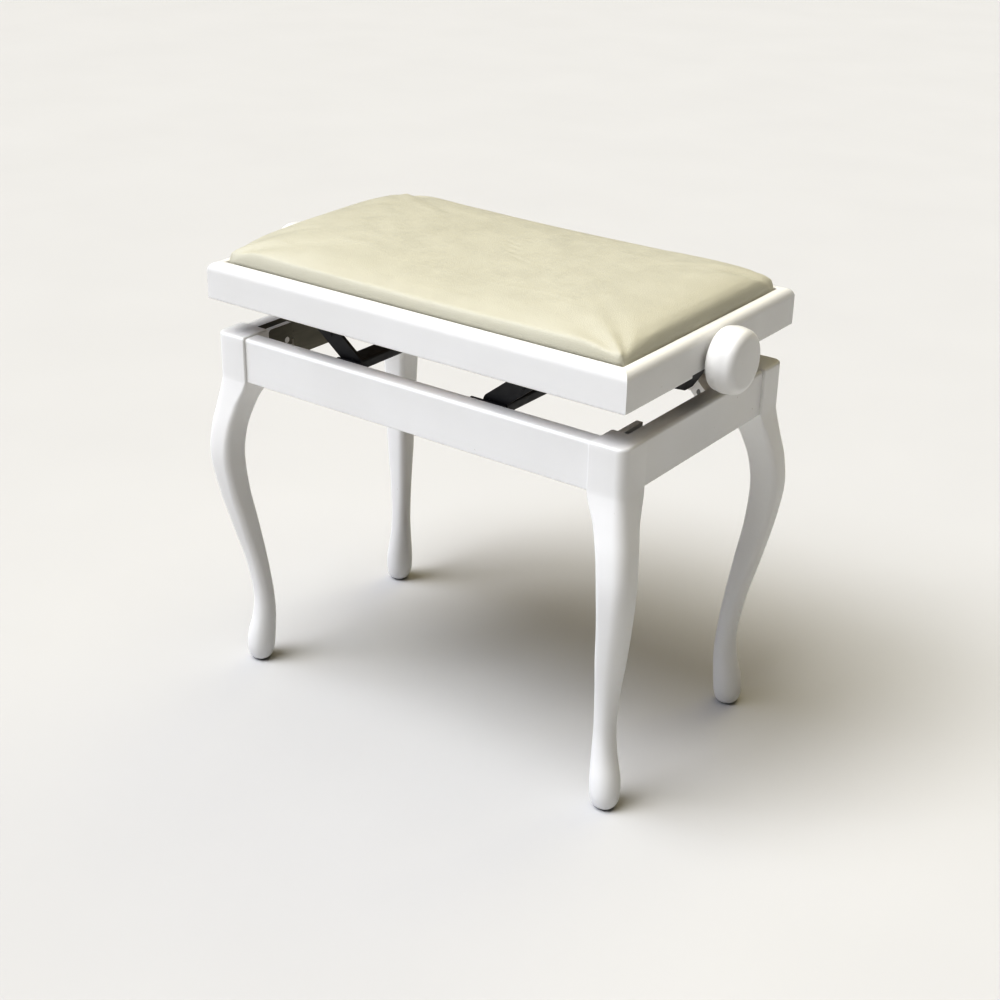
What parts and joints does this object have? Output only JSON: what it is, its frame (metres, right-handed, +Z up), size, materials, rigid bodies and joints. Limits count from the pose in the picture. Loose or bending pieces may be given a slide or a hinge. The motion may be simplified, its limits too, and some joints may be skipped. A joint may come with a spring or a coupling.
{
  "type": "piano bench",
  "caption": "Height-adjustable piano bench with a padded vinyl seat, a mitred frame on cabriole legs, and end knobs that turn a screw-driven scissor lift.",
  "frame": {"origin": "on the floor, at the middle of the four feet and of the whole bench's footprint", "axes": "+X to the right seen from the front, along the seat's length; -Y is the front; +Z up"},
  "size_m": [0.624, 0.3532, 0.545],
  "materials": {
    "white_paint": "satin white paint over wood",
    "plywood": "bare plywood",
    "foam": "open-cell foam",
    "vinyl": "cream vinyl with a fine grain",
    "knob_paint": "satin white paint over turned wood",
    "glide": "moulded nylon",
    "screw_steel": "zinc plated",
    "bright_steel": "oiled steel",
    "black_steel": "black enamel on steel"
  },
  "bodies": {
    "base": {"leg_front_left": "white_paint", "leg_front_right": "white_paint", "leg_back_left": "white_paint", "leg_back_right": "white_paint", "base_rail_front": "white_paint", "base_rail_back": "white_paint", "base_rail_left": "white_paint", "base_rail_right": "white_paint", "corner_block_front_left": "white_paint", "corner_block_front_right": "white_paint", "corner_block_back_left": "white_paint", "corner_block_back_right": "white_paint", "cleat_front_left": "white_paint", "cleat_front_right": "white_paint", "cleat_back_left": "white_paint", "cleat_back_right": "white_paint", "lift_bracket_front_left": "black_steel", "lift_bracket_front_right": "black_steel", "lift_bracket_back_left": "black_steel", "lift_bracket_back_right": "black_steel", "foot_glides": "glide", "corner_block_screws": "screw_steel", "cleat_screws": "white_paint", "lift_bracket_screws": "screw_steel"},
    "seat": {"seat_rail_front": "white_paint", "seat_rail_back": "white_paint", "seat_rail_left": "white_paint", "seat_rail_right": "white_paint", "seat_board": "plywood", "seat_foam": "foam", "seat_cover": "vinyl", "seat_bracket_front_left": "black_steel", "seat_bracket_front_right": "black_steel", "seat_bracket_back_left": "black_steel", "seat_bracket_back_right": "black_steel", "spindle_plate_left": "black_steel", "spindle_plate_right": "black_steel", "seat_plate_screws": "screw_steel", "board_screws": "screw_steel"},
    "lift_left": {"lift_arm_front_left": "black_steel", "lift_arm_back_left": "black_steel", "cross_tube_left": "black_steel", "rivets_left": "black_steel"},
    "lift_right": {"lift_arm_front_right": "black_steel", "lift_arm_back_right": "black_steel", "cross_tube_right": "black_steel", "rivets_right": "black_steel"},
    "stays_left": {"stay_front_left": "black_steel", "stay_back_left": "black_steel"},
    "stays_right": {"stay_front_right": "black_steel", "stay_back_right": "black_steel"},
    "nut_left": {"nut_bar_left": "black_steel"},
    "nut_right": {"nut_bar_right": "black_steel"},
    "spindle": {"spindle": "bright_steel", "knob_left": "knob_paint", "knob_right": "knob_paint", "spindle_collars": "bright_steel"}
  },
  "joints": [
    {"name": "lift_left_pivot", "type": "hinge", "parent": "base", "child": "lift_left", "pos_m": [-0.093, 0, 0.428], "axis": [0, 1, 0], "range_deg": [-26, 30]},
    {"name": "stays_left_pivot", "type": "hinge", "parent": "lift_left", "child": "stays_left", "pos_m": [-0.12862, 0, 0.4555], "axis": [0, 1, 0], "range_deg": [-60, 52]},
    {"name": "seat_pivot", "type": "hinge", "parent": "stays_left", "child": "seat", "pos_m": [-0.093, 0, 0.483], "axis": [0, 1, 0], "range_deg": [-26, 30]},
    {"name": "nut_left_pivot", "type": "hinge", "parent": "lift_left", "child": "nut_left", "pos_m": [-0.16424, 0, 0.483], "axis": [0, 1, 0], "range_deg": [-30, 26]},
    {"name": "lift_right_pivot", "type": "hinge", "parent": "base", "child": "lift_right", "pos_m": [0.093, 0, 0.428], "axis": [0, 1, 0], "range_deg": [-30, 26]},
    {"name": "stays_right_pivot", "type": "hinge", "parent": "lift_right", "child": "stays_right", "pos_m": [0.12862, 0, 0.4555], "axis": [0, 1, 0], "range_deg": [-52, 60]},
    {"name": "nut_right_pivot", "type": "hinge", "parent": "lift_right", "child": "nut_right", "pos_m": [0.16424, 0, 0.483], "axis": [0, 1, 0], "range_deg": [-26, 30]},
    {"name": "spindle_turn", "type": "hinge", "parent": "seat", "child": "spindle", "pos_m": [0, 0, 0.483], "axis": [1, 0, 0], "range_deg": [-1820, 2100]}
  ],
  "couplings": [
    {"joint": "stays_left_pivot", "follows": "lift_left_pivot", "ratio": -2},
    {"joint": "seat_pivot", "follows": "lift_left_pivot", "ratio": 1},
    {"joint": "nut_left_pivot", "follows": "lift_left_pivot", "ratio": -1},
    {"joint": "lift_right_pivot", "follows": "lift_left_pivot", "ratio": -1},
    {"joint": "stays_right_pivot", "follows": "lift_left_pivot", "ratio": 2},
    {"joint": "nut_right_pivot", "follows": "lift_left_pivot", "ratio": 1},
    {"joint": "spindle_turn", "follows": "lift_left_pivot", "ratio": 70}
  ]
}
